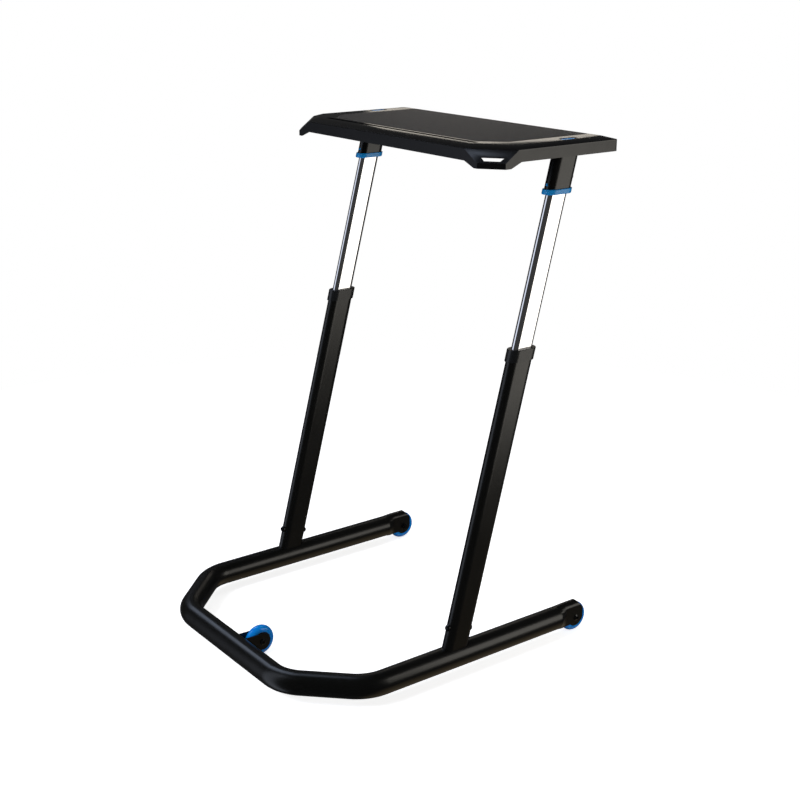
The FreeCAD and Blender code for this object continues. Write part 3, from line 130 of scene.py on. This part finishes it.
class DeskStage(bpy.types.PropertyGroup):
    """Camera and floor."""
    eye_x: metres("Camera X", "Camera to the right of the desk", 2.5935)
    eye_y: metres("Camera Y", "Camera beyond the closed end", -1.8267)
    eye_z: metres("Camera height", "Camera above the floor", 1.6184)
    tilt: degrees("Camera tilt", "Turn of the camera up from straight down", 71.912)
    roll: degrees("Camera roll", "Turn of the camera about its own axis", 0.025)
    heading: degrees("Camera heading", "Turn of the camera about the upright", 53.308)
    lens: bpy.props.FloatProperty(name="Focal length", description="In millimetres on a 36 mm sensor",
                                  default=62.0)
    floor_radius: metres("Floor radius", "Radius of the pale floor", 2.4)


def add(tree, kind, inputs=None, **settings):
    """A shader node with its settings, its values and what is linked into it."""
    node = tree.nodes.new("ShaderNode" + kind)
    for name, value in settings.items():
        setattr(node, name, value)
    for socket, value in (inputs or {}).items():
        if isinstance(value, bpy.types.NodeSocket):
            tree.links.new(value, node.inputs[socket])
        else:
            node.inputs[socket].default_value = value
    return node


def finish_of(name, base, roughness, **sockets):
    """A new material with its principled shader, and the tree they are in."""
    material = bpy.data.materials.new(name)
    material.use_nodes = True
    tree = material.node_tree
    tree.nodes.clear()
    shader = add(tree, "BsdfPrincipled", {"Base Color": (*base, 1), "Roughness": roughness})
    for socket, value in sockets.items():
        shader.inputs[socket.replace("_", " ")].default_value = value
    add(tree, "OutputMaterial", {"Surface": shader.outputs["BSDF"]})
    return material, tree, shader


def place(tree):
    """Where a point lies on the piece, in metres."""
    return add(tree, "TexCoord").outputs["Object"]


def grain(tree, spot, width_mm, detail=2.0, rough=0.5):
    """Noise whose cells are about as wide as a real size."""
    return add(tree, "TexNoise", {"Vector": spot, "Scale": 1 / (width_mm * MM), "Detail": detail,
                                  "Roughness": rough}).outputs["Fac"]


def spread(tree, value, low, high):
    """A value from 0 to 1 turned into one between two limits."""
    return add(tree, "MapRange", {"Value": value, "To Min": low, "To Max": high}).outputs["Result"]


def raise_surface(tree, shader, height, depth_mm, strength):
    """Waves or grain that catch the light, from a pattern and its real depth."""
    bump = add(tree, "Bump", {"Height": height, "Distance": depth_mm * MM, "Strength": strength})
    tree.links.new(bump.outputs["Normal"], shader.inputs["Normal"])


def tint(tree, shader, base, value, share):
    """The base colour made a little darker and lighter by a pattern."""
    dark = tuple(c * (1 - share) for c in base)
    light = tuple(min(1, c * (1 + share)) for c in base)
    mix = add(tree, "Mix", {"Factor": value, MIX_A: (*dark, 1), MIX_B: (*light, 1)}, data_type="RGBA")
    tree.links.new(mix.outputs[MIX_RESULT], shader.inputs["Base Color"])


def dress(nodes, material):
    """Give CAD nodes a finish."""
    for name in nodes:
        slots = frame["nodes"][name].data.materials
        slots.clear()
        slots.append(material)


def body_of(name):
    """The body that a CAD node belongs to."""
    bodies = frame["record"]["behaviour"]["bodies"]
    return next(body for body, nodes in bodies.items() if name in nodes)


def soften(name, piece_name, width_mm, material, reshape=None):
    """Replace a CAD node by a merged copy whose sharp edges are rounded."""
    shape = bmesh.new()
    shape.from_mesh(frame["nodes"][name].data)
    bmesh.ops.remove_doubles(shape, verts=shape.verts, dist=MERGE_DISTANCE)
    if reshape:
        reshape(shape)
    bmesh.ops.dissolve_limit(shape, angle_limit=FLAT_ANGLE, verts=shape.verts, edges=shape.edges)
    sharp = [edge for edge in shape.edges if edge.is_manifold and edge.calc_face_angle() > SHARP_ANGLE]
    bmesh.ops.bevel(shape, geom=sharp, offset=width_mm * MM, segments=2, profile=0.5, affect="EDGES",
                    clamp_overlap=True, material=-1)
    mesh = bpy.data.meshes.new(piece_name)
    shape.to_mesh(mesh)
    shape.free()
    mesh.shade_smooth()
    mesh.materials.append(material)
    piece = bpy.data.objects.new(piece_name, mesh)
    bpy.context.scene.collection.objects.link(piece)
    weighted = piece.modifiers.new("flat faces stay flat", "WEIGHTED_NORMAL")
    weighted.keep_sharp = True
    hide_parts(name)
    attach(piece, body_of(name))


def ease_squeezed_ends(shape):
    """Lower the arms' squeezed ends until they just clear their tyres, so that the tube's top runs on."""
    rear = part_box("base_frame")[1][1]
    start, end = rear - SQUEEZE_LONG * MM, rear - CHEEK_LONG * MM
    waist, top = TUBE_MIDDLE * MM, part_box("base_frame")[1][2]
    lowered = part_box("rear_left_tyre")[1][2] + (TYRE_ROOM + TUBE_WALL) * MM
    for vert in shape.verts:
        along = min(1, max(0, (vert.co.y - start) / (end - start)))
        up = max(0, (vert.co.z - waist) / (top - waist))
        vert.co.z -= along * up * (top - lowered)


def paired(*names):
    """The left and the right node of each name."""
    return [f"{name}_{side}" for name in names for side in SIDES]


class DESK_OT_coated_steel(bpy.types.Operator):
    """Satin black powder coat on the tubes, plates and rail"""
    bl_idname = "desk.coated_steel"
    bl_label = "Coated Steel"

    def execute(self, context):
        finishes = context.scene.desk_finishes
        base = tuple(finishes.coat_colour)
        # Polyester powder, sprayed and baked: satin, with faint waves that blur the highlights
        material, tree, shader = finish_of("satin_powder_coat", base, 0.29)
        spot = place(tree)
        peel = grain(tree, spot, finishes.peel_size, detail=3.0)
        cloud = grain(tree, spot, width_mm=60.0)
        tree.links.new(spread(tree, cloud, 0.25, 0.33), shader.inputs["Roughness"])
        tint(tree, shader, base, cloud, share=0.15)
        raise_surface(tree, shader, peel, depth_mm=0.03, strength=0.5)
        dress(["front_fork_plates", "cross_rail",
               *paired("lower_leg", "leg_spigot", "upper_sleeve", "leg_bracket")], material)
        soften("base_frame", "bent_base_tube", finishes.cut_edge, material, ease_squeezed_ends)
        return {"FINISHED"}


class DESK_OT_chromed_legs(bpy.types.Operator):
    """Bright chrome on the sliding inner legs"""
    bl_idname = "desk.chromed_legs"
    bl_label = "Chromed Legs"

    def execute(self, context):
        # Decorative chrome on polished tube: a mirror, with hair-fine marks along the slide
        material, tree, shader = finish_of("polished_chrome", srgb("F2F2F4"), 0.03, Metallic=1.0)
        spot = place(tree)
        stretched = add(tree, "Mapping", {"Vector": spot, "Scale": (1, 1, 0.02)}).outputs["Vector"]
        marks = grain(tree, stretched, width_mm=0.8)
        tree.links.new(spread(tree, marks, 0.02, 0.05), shader.inputs["Roughness"])
        dress(paired("inner_leg"), material)
        return {"FINISHED"}


class DESK_OT_fasteners(bpy.types.Operator):
    """Black bolts, zinc-plated hidden hardware and bearings"""
    bl_idname = "desk.fasteners"
    bl_label = "Fasteners"

    def execute(self, context):
        finishes = context.scene.desk_finishes
        # Black oxide over turned steel, oiled: deep black with a sharp highlight
        black, tree, shader = finish_of("black_oxide_steel", tuple(finishes.bolt_colour), 0.18)
        wear = grain(tree, place(tree), width_mm=2.0)
        tree.links.new(spread(tree, wear, 0.14, 0.24), shader.inputs["Roughness"])
        dress(["front_axle_bolt", "front_axle_nut",
               *paired("rear_axle_bolt", "rear_axle_nut", "leg_bolts", "sleeve_screw")], black)
        # Zinc plate, passivated: grey metal with a mottled sheen
        zinc, tree, shader = finish_of("zinc_plate", srgb("B9BBBD"), 0.35, Metallic=1.0)
        mottles = grain(tree, place(tree), width_mm=3.0)
        tree.links.new(spread(tree, mottles, 0.28, 0.45), shader.inputs["Roughness"])
        dress(["desktop_screws", "front_axle_washers",
               *paired("leg_nuts", "rear_axle_washers", "return_spring")], zinc)
        # Ground bearing steel: bright, with turned rings too fine to see singly
        bright, tree, shader = finish_of("ground_bearing_steel", srgb("C9CACC"), 0.22, Metallic=1.0)
        rings = grain(tree, place(tree), width_mm=1.0)
        tree.links.new(spread(tree, rings, 0.18, 0.28), shader.inputs["Roughness"])
        dress([wheel + "_bearings" for wheel in WHEELS], bright)
        return {"FINISHED"}


class DESK_OT_nylon_guides(bpy.types.Operator):
    """Collars, guide feet, wedges and hubs of black nylon"""
    bl_idname = "desk.nylon_guides"
    bl_label = "Nylon Guides"

    def execute(self, context):
        base = tuple(context.scene.desk_finishes.nylon_colour)
        # Injection-moulded nylon: satin black, with the mould's fine matt texture
        material, tree, shader = finish_of("moulded_black_nylon", base, 0.33)
        spot = place(tree)
        tint(tree, shader, base, grain(tree, spot, width_mm=25.0), share=0.12)
        raise_surface(tree, shader, grain(tree, spot, width_mm=0.9), depth_mm=0.02, strength=0.4)
        hubs = [wheel + "_hub" for wheel in WHEELS]
        dress(paired("leg_collar", "guide_foot", "brake_wedge") + hubs, material)
        return {"FINISHED"}


class DESK_OT_brake(bpy.types.Operator):
    """Brake shoes and push rods inside the legs"""
    bl_idname = "desk.brake"
    bl_label = "Leg Brake"

    def execute(self, context):
        # Pressed friction rubber: dull, with fibre flecks
        base = srgb("2B2622")
        shoe, tree, shader = finish_of("friction_rubber", base, 0.85)
        tint(tree, shader, base, grain(tree, place(tree), width_mm=1.2), share=0.35)
        dress(paired("brake_shoe_front", "brake_shoe_rear"), shoe)
        # Drawn aluminium rod: bright grey, with lines along its length
        rod, tree, shader = finish_of("drawn_aluminium", srgb("C4C6C8"), 0.3, Metallic=1.0)
        along = add(tree, "Mapping", {"Vector": place(tree), "Scale": (1, 1, 0.03)}).outputs["Vector"]
        tree.links.new(spread(tree, grain(tree, along, width_mm=0.6), 0.22, 0.4), shader.inputs["Roughness"])
        dress(paired("push_rod"), rod)
        return {"FINISHED"}


class DESK_OT_blue_parts(bpy.types.Operator):
    """Blue trim rings and release buttons"""
    bl_idname = "desk.blue_parts"
    bl_label = "Blue Rings and Buttons"

    def execute(self, context):
        base = tuple(context.scene.desk_finishes.blue_colour)
        # Moulded ABS in solid blue: an even colour under a soft gloss
        material, tree, shader = finish_of("moulded_blue_abs", base, 0.3)
        spot = place(tree)
        tint(tree, shader, base, grain(tree, spot, width_mm=18.0), share=0.05)
        raise_surface(tree, shader, grain(tree, spot, width_mm=0.8), depth_mm=0.015, strength=0.3)
        dress(paired("trim_ring", "release_button"), material)
        return {"FINISHED"}


class DESK_OT_tyres(bpy.types.Operator):
    """Blue polyurethane tyres"""
    bl_idname = "desk.tyres"
    bl_label = "Tyres"

    def execute(self, context):
        base = tuple(context.scene.desk_finishes.tyre_colour)
        # Cast polyurethane: wet-looking and slightly see-through, so its edges glow a little
        material, tree, shader = finish_of("cast_blue_polyurethane", base, 0.14, Subsurface_Weight=0.25,
                                           Subsurface_Scale=0.004, Coat_Weight=0.3, Coat_Roughness=0.08)
        scuffs = grain(tree, place(tree), width_mm=4.0, detail=5.0, rough=0.7)
        tree.links.new(spread(tree, scuffs, 0.1, 0.22), shader.inputs["Roughness"])
        dress([wheel + "_tyre" for wheel in WHEELS], material)
        return {"FINISHED"}


class DESK_OT_shell(bpy.types.Operator):
    """Moulded shell of the desktop"""
    bl_idname = "desk.shell"
    bl_label = "Desktop Shell"

    def execute(self, context):
        finishes = context.scene.desk_finishes
        base = tuple(finishes.shell_colour)
        # Injection-moulded ABS: satin black from a spark-eroded mould, and smoother on the top's border
        material, tree, shader = finish_of("moulded_black_abs", base, 0.3)
        spot = place(tree)
        tint(tree, shader, base, grain(tree, spot, width_mm=40.0), share=0.1)
        height = add(tree, "SeparateXYZ", {0: spot}).outputs["Z"]
        border = add(tree, "MapRange", {"Value": height,
                                        "From Min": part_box("desktop")[1][2] - SKIRT_DOWN * MM,
                                        "From Max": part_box("desktop")[1][2] - BORDER_DOWN * MM,
                                        "To Min": SKIRT_ROUGH, "To Max": BORDER_ROUGH}).outputs["Result"]
        cloud = spread(tree, grain(tree, spot, width_mm=30.0), -0.03, 0.03)
        tree.links.new(add(tree, "Math", {0: border, 1: cloud}, operation="ADD").outputs[0],
                       shader.inputs["Roughness"])
        raise_surface(tree, shader, grain(tree, spot, finishes.spark_grain), depth_mm=0.015, strength=0.35)
        soften("desktop", "desktop_shell", finishes.shell_edge, material)
        return {"FINISHED"}


class DESK_OT_mat(bpy.types.Operator):
    """Textured rubber mat"""
    bl_idname = "desk.mat"
    bl_label = "Rubber Mat"

    def execute(self, context):
        finishes = context.scene.desk_finishes
        base = tuple(finishes.mat_colour)
        # Calendered rubber with a leather-like grain: dull black whose raised cells catch the light. Its
        # mottling is drawn several times coarser than the real one, so that it shows
        material, tree, shader = finish_of("grained_rubber", base, 0.6)
        spot = place(tree)
        cells = add(tree, "TexVoronoi", {"Vector": spot, "Scale": 1 / (finishes.mat_grain * MM)},
                    feature="SMOOTH_F1").outputs["Distance"]
        mottling = grain(tree, spot, width_mm=9.0, detail=5.0, rough=0.75)
        tint(tree, shader, base, mottling, share=0.8)
        tree.links.new(spread(tree, cells, 0.5, 0.7), shader.inputs["Roughness"])
        raise_surface(tree, shader, cells, depth_mm=0.35, strength=0.8)
        soften("desk_mat", "rubber_mat", finishes.shell_edge / 2, material)
        return {"FINISHED"}


def between(tree, value, low, high, soft):
    """1 where a value lies between two limits, falling to 0 over a soft edge."""
    up = add(tree, "MapRange", {"Value": value, "From Min": low - soft, "From Max": low}).outputs["Result"]
    down = add(tree, "MapRange", {"Value": value, "From Min": high, "From Max": high + soft, "To Min": 1,
                                  "To Max": 0}).outputs["Result"]
    return add(tree, "Math", {0: up, 1: down}, operation="MULTIPLY").outputs[0]


# Far panels of light that glossy surfaces mirror: lowest and highest bearing, counted from +X towards +Y,
# lowest and highest elevation, and the soft edge, all in degrees, then brightness and colour
PANELS = (
    (-134, -106, -60, 60, 4, 1.0, "E6EEFF"),
    (165, 180, 38, 68, 7, 2.6, "D8E6FF"),
    (-180, -172, 38, 68, 7, 2.6, "D8E6FF"),
    (20, 110, -80, -36, 10, 0.3, "FFE8C0"),
    (-180, 180, -90, 90, 1, 0.04, "FFFFFF"),
)
# Soft boxes: middle and the point each faces, width and height, all in metres, brightness as a mirror
# would show it, colour, and whether glossy surfaces show it
SOFT_BOXES = {
    "front_box": ((-0.2, -2.6, 2.6), (0, 0, 0.6), (1.8, 1.8), 10, "EEF2FF", False),
    "side_box": ((1.5, 1.25, 0.7), (0, 1.25, 0.7), (1.4, 1.25), 2.0, "FFFAF0", True),
    "rear_box": ((-2.0, 2.08, 1.57), (0, 2.08, 1.57), (1.3, 0.36), 1.1, "FFF6E8", True),
    "top_box": ((-0.1, 0.85, 1.6), (0, 0.2, 1.2), (1.0, 0.2), 6.0, "FFFFFF", False),
}


class DESK_OT_stage(bpy.types.Operator):
    """Pale floor, white surroundings, soft lamps and the camera"""
    bl_idname = "desk.stage"
    bl_label = "Stage"

    def execute(self, context):
        settings = context.scene.desk_stage
        self.surroundings(context)
        self.floor(context, settings.floor_radius)
        for name, facts in SOFT_BOXES.items():
            self.soft_box(context, name, *facts)
        camera = bpy.data.cameras.new("camera")
        camera.lens = settings.lens
        eye = bpy.data.objects.new("camera", camera)
        eye.location = (settings.eye_x, settings.eye_y, settings.eye_z)
        eye.rotation_euler = (settings.tilt, settings.roll, settings.heading)
        context.scene.collection.objects.link(eye)
        context.scene.camera = eye
        context.scene.view_settings.view_transform = "Standard"
        return {"FINISHED"}

    def surroundings(self, context):
        """White behind the desk, light panels for what glosses, and an even dim glow for the rest."""
        world = bpy.data.worlds.new("studio")
        context.scene.world = world
        world.use_nodes = True
        tree = world.node_tree
        tree.nodes.clear()
        way = add(tree, "SeparateXYZ", {0: add(tree, "TexCoord").outputs["Generated"]}).outputs
        per_radian = 180 / math.pi
        bearing = add(tree, "Math", {0: way["Y"], 1: way["X"]}, operation="ARCTAN2").outputs[0]
        bearing = add(tree, "Math", {0: bearing, 1: per_radian}, operation="MULTIPLY").outputs[0]
        height = add(tree, "Math", {0: way["Z"]}, operation="ARCSINE").outputs[0]
        height = add(tree, "Math", {0: height, 1: per_radian}, operation="MULTIPLY").outputs[0]
        total = None
        for left, right, low, high, soft, strength, code in PANELS:
            across = between(tree, bearing, left, right, soft)
            upright = between(tree, height, low, high, soft)
            mask = add(tree, "Math", {0: across, 1: upright}, operation="MULTIPLY").outputs[0]
            shown = tuple(c * strength for c in srgb(code))
            mix = add(tree, "Mix", {"Factor": mask, MIX_A: (0, 0, 0, 1), MIX_B: (*shown, 1)},
                      data_type="RGBA")
            lit = mix.outputs[MIX_RESULT]
            if total is None:
                total = lit
                continue
            mix = add(tree, "Mix", {"Factor": 1.0, MIX_A: total, MIX_B: lit}, data_type="RGBA",
                      blend_type="LIGHTEN")
            total = mix.outputs[MIX_RESULT]
        rays = add(tree, "LightPath").outputs
        dim = (DIM_GLOW, DIM_GLOW, DIM_GLOW, 1)
        glow = add(tree, "Background", {"Color": dim, "Strength": 1.0}).outputs[0]
        panels = add(tree, "Background", {"Color": total, "Strength": 1.0}).outputs[0]
        white = add(tree, "Background", {"Color": (1, 1, 1, 1), "Strength": 1.0}).outputs[0]
        seen = add(tree, "MixShader", {0: rays["Is Glossy Ray"], 1: glow, 2: panels}).outputs[0]
        seen = add(tree, "MixShader", {0: rays["Is Camera Ray"], 1: seen, 2: white}).outputs[0]
        add(tree, "OutputWorld", {"Surface": seen})

    def floor(self, context, radius):
        """A pale disc that takes the desk's shadow and looks white to the camera."""
        shape = bmesh.new()
        bmesh.ops.create_circle(shape, cap_ends=True, segments=FLOOR_SIDES, radius=radius)
        mesh = bpy.data.meshes.new("floor")
        shape.to_mesh(mesh)
        shape.free()
        disc = bpy.data.objects.new("floor", mesh)
        context.scene.collection.objects.link(disc)
        # Seamless studio paper: dead matt and near white
        material, tree, shader = finish_of("studio_paper", srgb("F0F0F0"), 1.0, Specular_IOR_Level=0.0)
        rays = add(tree, "LightPath").outputs
        glow = add(tree, "Emission", {"Color": (1, 1, 1, 1), "Strength": FLOOR_GLOW}).outputs[0]
        both = add(tree, "AddShader", {0: shader.outputs[0], 1: glow}).outputs[0]
        clear = add(tree, "BsdfTransparent").outputs[0]
        seen = add(tree, "MixShader", {0: rays["Is Glossy Ray"], 1: shader.outputs[0], 2: clear}).outputs[0]
        seen = add(tree, "MixShader", {0: rays["Is Camera Ray"], 1: seen, 2: both}).outputs[0]
        output = next(node for node in tree.nodes if node.type == "OUTPUT_MATERIAL")
        tree.links.new(seen, output.inputs["Surface"])
        mesh.materials.append(material)

    def soft_box(self, context, name, spot, aim, size, brightness, code, mirrored):
        """A soft box that the camera doesn't see."""
        light = bpy.data.lights.new(name, "AREA")
        light.shape = "RECTANGLE"
        light.size, light.size_y = size
        light.energy = brightness * math.pi * size[0] * size[1]
        light.color = srgb(code)
        lamp = bpy.data.objects.new(name, light)
        lamp.location = spot
        lamp.rotation_euler = (Vector(aim) - Vector(spot)).to_track_quat("-Z", "Y").to_euler()
        lamp.visible_camera = False
        lamp.visible_glossy = mirrored
        context.scene.collection.objects.link(lamp)


OPERATORS = (DESK_OT_coated_steel, DESK_OT_chromed_legs, DESK_OT_fasteners, DESK_OT_nylon_guides,
             DESK_OT_brake, DESK_OT_blue_parts, DESK_OT_tyres, DESK_OT_shell, DESK_OT_mat, DESK_OT_stage)


class DESK_PT_panel(bpy.types.Panel):
    """Lists the finishes, the sizes and the steps"""
    bl_idname = "DESK_PT_panel"
    bl_label = "Bike Trainer Desk"
    bl_space_type = "VIEW_3D"
    bl_region_type = "UI"
    bl_category = "Desk"

    def draw(self, context):
        for group in (context.scene.desk_finishes, context.scene.desk_stage):
            for name in group.__annotations__:
                self.layout.prop(group, name)
        for operator in OPERATORS:
            self.layout.operator(operator.bl_idname)


CLASSES = (DeskFinishes, DeskStage, *OPERATORS, DESK_PT_panel)


def register():
    for item in CLASSES:
        bpy.utils.register_class(item)
    bpy.types.Scene.desk_finishes = bpy.props.PointerProperty(type=DeskFinishes)
    bpy.types.Scene.desk_stage = bpy.props.PointerProperty(type=DeskStage)


def unregister():
    del bpy.types.Scene.desk_stage
    del bpy.types.Scene.desk_finishes
    for item in reversed(CLASSES):
        bpy.utils.unregister_class(item)


def main():
    register()
    for operator in OPERATORS:
        getattr(bpy.ops.desk, operator.bl_idname.split(".")[1])()


if __name__ == "__main__":
    main()
